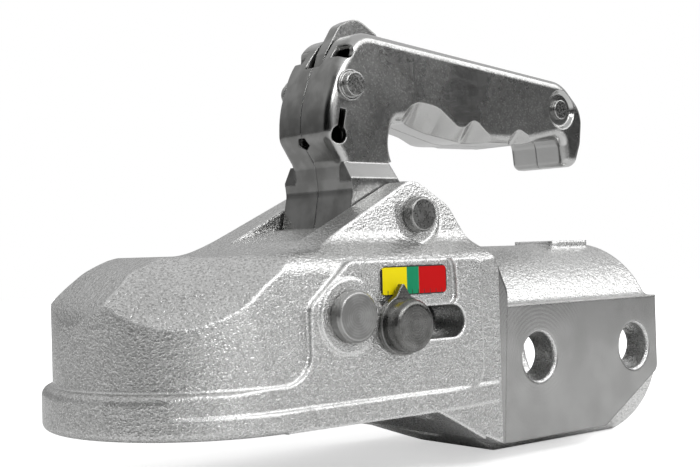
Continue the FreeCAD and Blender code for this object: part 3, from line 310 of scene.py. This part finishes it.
def new_group(name, inputs, outputs):
    """A shader node group with number inputs, given as (name, number), and typed outputs."""
    group = bpy.data.node_groups.new(name, "ShaderNodeTree")
    for label, number in inputs:
        socket = group.interface.new_socket(label, in_out="INPUT", socket_type="NodeSocketFloat")
        socket.default_value = number
    for label, kind in outputs:
        group.interface.new_socket(label, in_out="OUTPUT", socket_type=kind)
    return group, group.nodes.new("NodeGroupInput"), group.nodes.new("NodeGroupOutput")


def place_group(tree, group, **values):
    """A node of the group, with its inputs set to numbers or other nodes' outputs."""
    node = tree.nodes.new("ShaderNodeGroup")
    node.node_tree = group
    for label, value in values.items():
        feed(tree, value, node.inputs[label])
    return node


def soft_edge_group():
    """Rounds edges in the shading, and finds them: the more the rounded normal leaves the
    true one, the nearer the edge."""
    group, given, made = new_group("soft_edges", [("radius", 0.001)],
                                   [("Normal", "NodeSocketVector"), ("Edge", "NodeSocketFloat")])
    rounded = group.nodes.new("ShaderNodeBevel")
    rounded.samples = 6
    feed(group, given.outputs["radius"], rounded.inputs["Radius"])
    true_normal = group.nodes.new("ShaderNodeNewGeometry").outputs["Normal"]
    agreement = vector_maths(group, "DOT_PRODUCT", rounded.outputs[0], true_normal)
    feed(group, rounded.outputs[0], made.inputs["Normal"])
    feed(group, step_up(group, agreement, *edge_agreement), made.inputs["Edge"])
    return group


edge_agreement = (0.997, 0.95)
soft_edges = soft_edge_group()

pebble_size = 1.2 * MM
grain_size = 0.52 * MM
cell_smoothing = 0.5
patches_per_metre = 45
flattening = (0.9, 0.9, 1.2)


def pebbled_group():
    """Pebbled casting skin: rounded cells, fine grains and slow waves, laid over each other.
    The height is 0.6 of the grains and 0.4 of the waves, less half of the cells times coarse."""
    group, given, made = new_group(
        "pebbled_skin", [("coarse", 1.0)],
        [("Height", "NodeSocketFloat"), ("Grain", "NodeSocketFloat"),
         ("Patch", "NodeSocketFloat")])
    place = vector_maths(group, "MULTIPLY", object_place(group), flattening)
    lumps = cells(group, place, 1 / pebble_size, cell_smoothing)
    grains = noise(group, place, 1 / grain_size)
    waves = noise(group, place, 1 / (pebble_size * 3))
    sunk = maths(group, "MULTIPLY", given.outputs["coarse"], -0.5)
    height = maths(group, "MULTIPLY", lumps, sunk)
    height = maths(group, "MULTIPLY_ADD", grains, 0.6, height)
    height = maths(group, "MULTIPLY_ADD", waves, 0.4, height)
    feed(group, height, made.inputs["Height"])
    feed(group, grains, made.inputs["Grain"])
    feed(group, noise(group, place, patches_per_metre, 3, 0.6), made.inputs["Patch"])
    return group


pebbled = pebbled_group()

skin_dark, skin_light, painted_sleeve_light = grey(0.56), grey(0.64), grey(0.74)
pit_shade_tone, peak_glint_tone, edge_highlight_tone = grey(0.4), grey(0.78), grey(0.92)
pit_levels, peak_levels = (0.36, 0.48), (0.56, 0.68)
pit_roughness, peak_roughness = 0.36, 0.24
facing_up, side_coarseness = (0.2, 0.8), 0.45
dome_end, sleeve_start = 70 * MM, 90 * MM
cast_rounding = 1.2 * MM
skin_depth = 0.34 * MM

pad_face, pad_front = 33.6 * MM, 80 * MM
pad_foot, pad_rim = 24 * MM, 28 * MM
pad_highlight_cut = 0.75
milled_dark, milled_light, milled_roughness = grey(0.34), grey(0.4), 0.26
front_hole_axis = (99.5 * MM, 0)
arc_turning, arc_waver, arc_height = 5200, 1.2, 0.006
wander_per_metre = 90


def casting_material():
    """Cast iron: painted lighter on the sleeve, with painted glints on the peaks of the skin,
    painted shade in its pits and a painted highlight on the edges. The pads are milled, in arcs
    about the front bolt hole, and the edges beside them get less of the painted highlight. An arc
    is the sine of the distance from the hole times arc_turning."""
    material = new_material("cast_iron", 0.95)
    tree = material.node_tree
    place = object_place(tree)
    x, y, _ = parts_of(tree, place)
    outward = maths(tree, "ABSOLUTE", y)
    upward = parts_of(tree, tree.nodes.new("ShaderNodeNewGeometry").outputs["Normal"])[2]
    rounded = place_group(tree, soft_edges, radius=cast_rounding)
    coarse = step_up(tree, upward, *facing_up, side_coarseness, 1.0)
    skin = place_group(tree, pebbled, coarse=coarse)
    grain = skin.outputs["Grain"]

    colour = blend_colour(tree, stretched(tree, skin.outputs["Patch"]), skin_dark, skin_light)
    # Painted light: the sleeve is coloured lighter than the rest of the casting.
    colour = blend_colour(tree, step_up(tree, x, dome_end, sleeve_start), colour, painted_sleeve_light)
    # Painted shade in the pits of the skin and painted glints on its peaks, where the grain is
    # low and high.
    colour = blend_colour(tree, step_up(tree, grain, *pit_levels), pit_shade_tone, colour)
    colour = blend_colour(tree, step_up(tree, grain, *peak_levels), colour, peak_glint_tone)
    # Painted highlight: the rounded edges are coloured near white, and less so beside the pads.
    by_pad = maths(tree, "MULTIPLY", step_up(tree, outward, pad_foot, pad_rim),
                   step_up(tree, x, pad_front - 2 * MM, pad_front))
    edge_highlight_share = maths(tree, "MULTIPLY", rounded.outputs["Edge"],
                 maths(tree, "MULTIPLY_ADD", by_pad, -pad_highlight_cut, 1.0))
    colour = blend_colour(tree, edge_highlight_share, colour, edge_highlight_tone)

    on_pad = maths(tree, "MULTIPLY",
                   step_up(tree, outward, pad_face - 0.1 * MM, pad_face - 0.04 * MM),
                   step_up(tree, x, pad_front - 0.1 * MM, pad_front))
    wander = noise(tree, place, wander_per_metre)
    turning = maths(tree, "MULTIPLY", axis_distance(tree, place, front_hole_axis), arc_turning)
    arcs = maths(tree, "SINE", maths(tree, "MULTIPLY_ADD", wander, arc_waver, turning))
    milled = blend_colour(tree, stretched(tree, wander), milled_dark, milled_light)
    colour = blend_colour(tree, on_pad, colour, milled)
    roughness = blend_number(tree, on_pad,
                             stretched(tree, grain, pit_roughness, peak_roughness),
                             milled_roughness)
    height = blend_number(tree, on_pad, skin.outputs["Height"],
                          maths(tree, "MULTIPLY", arcs, arc_height))
    feed_shader(tree, colour, roughness,
                bump(tree, height, 1.0, skin_depth, rounded.outputs["Normal"]))
    return material


def dress(material, *names):
    """Puts a material on CAD nodes in place of the plain one."""
    for name in names:
        nodes[name].data.materials.clear()
        nodes[name].data.materials.append(material)


dress(casting_material(), "housing", "ball_jaw")


# Pins, rings, block and washers: turned steel, with the marks of the lathe round each
# pin's own axis, darkest on the sliding pin and brighter on the rivets, with a painted highlight
# on the edges.
ring_turning, ring_waver, ring_tint, ring_height = 9000, 0.8, 0.05, 0.07
streaks_per_metre, scratches_per_metre = 250, 1600
scratch_height = 0.5
edge_highlight_gain, brightest_highlight = 1.35, 0.9
smoother, rougher = 0.08, 0.1
turned_rounding = 0.6 * MM
turned_depth = 0.12 * MM


def turned_material(name, axis, light, dark, roughness):
    """Turned steel: light and dark streaks, and faint rings that waver, each the sine of the
    distance from the axis times ring_turning."""
    material = new_material(name, 1)
    tree = material.node_tree
    place = object_place(tree)
    wander = noise(tree, place, streaks_per_metre, 3)
    turning = maths(tree, "MULTIPLY", axis_distance(tree, place, axis), ring_turning)
    rings = maths(tree, "SINE", maths(tree, "MULTIPLY_ADD", wander, ring_waver, turning))
    scratches = noise(tree, place, scratches_per_metre, 3, 0.6)
    rounded = place_group(tree, soft_edges, radius=turned_rounding)
    ridge = maths(tree, "MULTIPLY_ADD", rings, ring_tint, wander)
    colour = blend_colour(tree, stretched(tree, ridge), dark, light)
    # Painted highlight: the rounded edges are coloured lighter than the light steel.
    colour = blend_colour(tree, rounded.outputs["Edge"], colour,
                          tuple(min(part * edge_highlight_gain, brightest_highlight) for part in light))
    height = maths(tree, "MULTIPLY_ADD", scratches, scratch_height,
                   maths(tree, "MULTIPLY", rings, ring_height))
    satin = step_up(tree, scratches, 0.2, 0.8, roughness - smoother, roughness + rougher)
    feed_shader(tree, colour, satin,
                bump(tree, height, 0.3, turned_depth, rounded.outputs["Normal"]))
    return material


jaw_axis = (20.8 * MM, 16.5 * MM)
slide_axis = (38.3 * MM, 13.2 * MM)
pivot_axis = (57.5 * MM, 43 * MM)
grip_axis = (138 * MM, 78.6 * MM)
catch_axis = (45.4 * MM, 80.7 * MM)

dress(turned_material("rivet_steel", jaw_axis, grey(0.38), grey(0.26), 0.34),
      "jaw_pin_near", "jaw_pin_far", "jaw_spacer_near", "jaw_spacer_far")
dress(turned_material("pivot_steel", pivot_axis, grey(0.32), grey(0.2), 0.3),
      "lever_pivot_pin", "pivot_bush")
dress(turned_material("slide_steel", slide_axis, grey(0.22), grey(0.13), 0.3),
      "slide_pin", "wear_pointer", "slide_washer", "locking_block")
dress(turned_material("grip_steel", grip_axis, grey(0.42), grey(0.28), 0.26),
      "grip_rivet", "grip_spacer")
dress(turned_material("catch_steel", catch_axis, grey(0.42), grey(0.28), 0.26), "catch_pin")
wire_steel = turned_material("spring_steel", slide_axis, (0.3, 0.3, 0.31), (0.2, 0.2, 0.2), 0.3)
dress(wire_steel, "catch_spring", "retaining_ring", "spring_seat")


# Main spring: wound from round steel wire, between the locking block and the spring seat at
# the rear of the chamber. The coil is built at one length; on the real coupler it is squeezed
# towards the seat as the slide pin draws back.
wire_radius = 0.85 * MM
coil_radius = 6.2 * MM
coil_turns = 6
steps_per_turn = 32
steps_round_wire = 12


def coil_surface(name, start, end, axis_z):
    """Round wire along a helix about an axis parallel to X. At angle a round the axis and b
    round the wire, a point lies coil_radius + wire_radius cos b out from the axis, towards
    cos a in Y and sin a in Z, and the wire's own x plus wire_radius sin b along it. The wire's
    x rises evenly with a, from start to end."""
    along = np.linspace(0, 1, coil_turns * steps_per_turn + 1)[:, None]
    a = along * coil_turns * 2 * math.pi
    b = np.linspace(0, 2 * math.pi, steps_round_wire, endpoint=False)[None, :]
    out = coil_radius + wire_radius * np.cos(b)
    x = start + wire_radius + along * (end - start - 2 * wire_radius) + wire_radius * np.sin(b)
    points = np.stack([x, out * np.cos(a), axis_z + out * np.sin(a)], axis=-1)
    rows = np.arange(len(along) - 1)[:, None] * steps_round_wire
    here = np.arange(steps_round_wire)[None, :]
    beside = (here + 1) % steps_round_wire
    quads = np.stack([rows + here, rows + steps_round_wire + here,
                      rows + steps_round_wire + beside, rows + beside], axis=-1)
    last = (len(along) - 1) * steps_round_wire
    caps = [list(range(steps_round_wire)),
            list(range(last + steps_round_wire - 1, last - 1, -1))]
    piece = new_piece(name, points.reshape(-1, 3).tolist(), quads.reshape(-1, 4).tolist() + caps)
    piece.data.shade_smooth()
    return piece


spring_low, spring_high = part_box("main_spring")
spring_coil = coil_surface("main_spring_coil", spring_low[0], spring_high[0], slide_axis[1])
spring_coil.data.materials.append(wire_steel)
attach(spring_coil, "casting")
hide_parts("main_spring")
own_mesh(spring_coil)


# Lever: two pressed half shells of zinc plated sheet, smooth and glossy, with the cloudy
# patches of the plating, rolled faces painted paler as painted light, a painted highlight on
# the bends, and painted shade in streaks down the front of the legs.
plate_dark, plate_light = grey(0.33), grey(0.42)
blot_tone, speckle_tone = grey(0.29), grey(0.62)
rolled_sheen_tone, bend_highlight_tone = grey(0.47), grey(0.44)
leg_shade_dark, leg_shade_light = grey(0.2), grey(0.29)
clouds_per_metre, blots_per_metre, speckles_per_metre, leg_streaks_per_metre = 40, 500, 1700, 110
blot_levels, speckle_levels, leg_streak_levels = (0.36, 0.6), (0.5, 0.7), (0.35, 0.65)
speckle_strength = 0.8
flat_sides, leg_fronts = (0.85, 0.98), (-0.5, -0.85)
leg_end, grip_start = 70 * MM, 80 * MM
dull_roughness, satin_roughness, rolled_gloss = 0.32, 0.24, 0.09
sheet_rounding = 0.6 * MM
speckle_depth = 0.05 * MM


def pressed_material():
    """Plated sheet. The share called aside is 1 on the flat sides, which are blotched, and 0 on
    the rolled faces, which are plainer, glossier and painted paler; ahead is 1 on the front of
    the legs, which is painted darker as shade."""
    material = new_material("pressed_zinc", 1)
    tree = material.node_tree
    place = object_place(tree)
    rounded = place_group(tree, soft_edges, radius=sheet_rounding)
    facing = tree.nodes.new("ShaderNodeNewGeometry").outputs["Normal"]
    ahead_way, aside_way, _ = parts_of(tree, facing)
    aside = step_up(tree, maths(tree, "ABSOLUTE", aside_way), *flat_sides)
    ahead = maths(tree, "MULTIPLY", step_up(tree, ahead_way, *leg_fronts),
                  step_up(tree, parts_of(tree, place)[0], grip_start, leg_end))
    clouds = noise(tree, place, clouds_per_metre, 4, 0.55)
    blots = noise(tree, place, blots_per_metre, 4, 0.7)
    speckles = noise(tree, place, speckles_per_metre, 3, 0.55)
    streaks = noise(tree, place, leg_streaks_per_metre, 3, 0.6)

    colour = blend_colour(tree, stretched(tree, clouds), plate_dark, plate_light)
    colour = blend_colour(tree, step_up(tree, blots, *blot_levels), blot_tone, colour)
    bright = maths(tree, "MULTIPLY", step_up(tree, speckles, *speckle_levels), speckle_strength)
    colour = blend_colour(tree, bright, colour, speckle_tone)
    # Painted light: the rolled faces are coloured paler than the flat sides.
    colour = blend_colour(tree, aside, rolled_sheen_tone, colour)
    # Painted highlight on the bends.
    colour = blend_colour(tree, rounded.outputs["Edge"], colour, bend_highlight_tone)
    # Painted shade: the fronts of the legs are coloured darker, in streaks.
    leg_front_shade = blend_colour(tree, step_up(tree, streaks, *leg_streak_levels),
                             leg_shade_dark, leg_shade_light)
    colour = blend_colour(tree, ahead, colour, leg_front_shade)

    satin = stretched(tree, clouds, dull_roughness, satin_roughness)
    gloss = step_up(tree, aside, 0, 1, rolled_gloss, 0.0)
    height = maths(tree, "MULTIPLY", speckles, aside)
    feed_shader(tree, colour, maths(tree, "SUBTRACT", satin, gloss),
                bump(tree, height, 0.3, speckle_depth, rounded.outputs["Normal"]))
    return material


dress(pressed_material(), "lever_shell_near", "lever_shell_far", "safety_catch")


# Wear scale: a printed film in the recess over the slide pin's slot, in three zones from
# worn, through good, to not locked, with a thin dark rim and plain tick marks.
scale_left, scale_right = 33.2 * MM, 57 * MM
scale_low, scale_top = 21 * MM, 28.8 * MM
zone_starts = (42.2 * MM, 46.6 * MM)
zone_blur = 0.05 * MM
worn_yellow = (0.82, 0.68, 0.002)
good_green = (0.008, 0.24, 0.11)
open_red = (0.5, 0.001, 0.002)
ink_black = (0.03, 0.03, 0.03)
film_shine, film_roughness = 0.15, 0.45
scale_rim = 0.3 * MM
tick_pitch = 2.2 * MM
tick_height = 1.4 * MM
tick_share = 0.1


def scale_material():
    """Film with its zones along X. The ink is where a tick or the rim is."""
    material = new_material("scale_film", 0)
    tree = material.node_tree
    tree.nodes["Principled BSDF"].inputs["Specular IOR Level"].default_value = film_shine
    x, _, z = parts_of(tree, object_place(tree))
    colour = worn_yellow
    for start, paint in zip(zone_starts, (good_green, open_red)):
        past_start = step_up(tree, x, start - zone_blur, start + zone_blur)
        colour = blend_colour(tree, past_start, colour, paint)
    phase = maths(tree, "FRACT", maths(tree, "DIVIDE", x, tick_pitch))
    ticks = maths(tree, "MULTIPLY", maths(tree, "LESS_THAN", phase, tick_share),
                  maths(tree, "LESS_THAN", z, scale_low + tick_height))
    in_across = maths(tree, "MULTIPLY",
                      maths(tree, "GREATER_THAN", x, scale_left + scale_rim),
                      maths(tree, "LESS_THAN", x, scale_right - scale_rim))
    in_upright = maths(tree, "MULTIPLY",
                       maths(tree, "GREATER_THAN", z, scale_low + scale_rim),
                       maths(tree, "LESS_THAN", z, scale_top - scale_rim))
    rim = maths(tree, "SUBTRACT", 1, maths(tree, "MULTIPLY", in_across, in_upright))
    ink = maths(tree, "MAXIMUM", ticks, rim)
    feed_shader(tree, blend_colour(tree, ink, colour, ink_black), film_roughness)
    return material


dress(scale_material(), "pointer_scale")
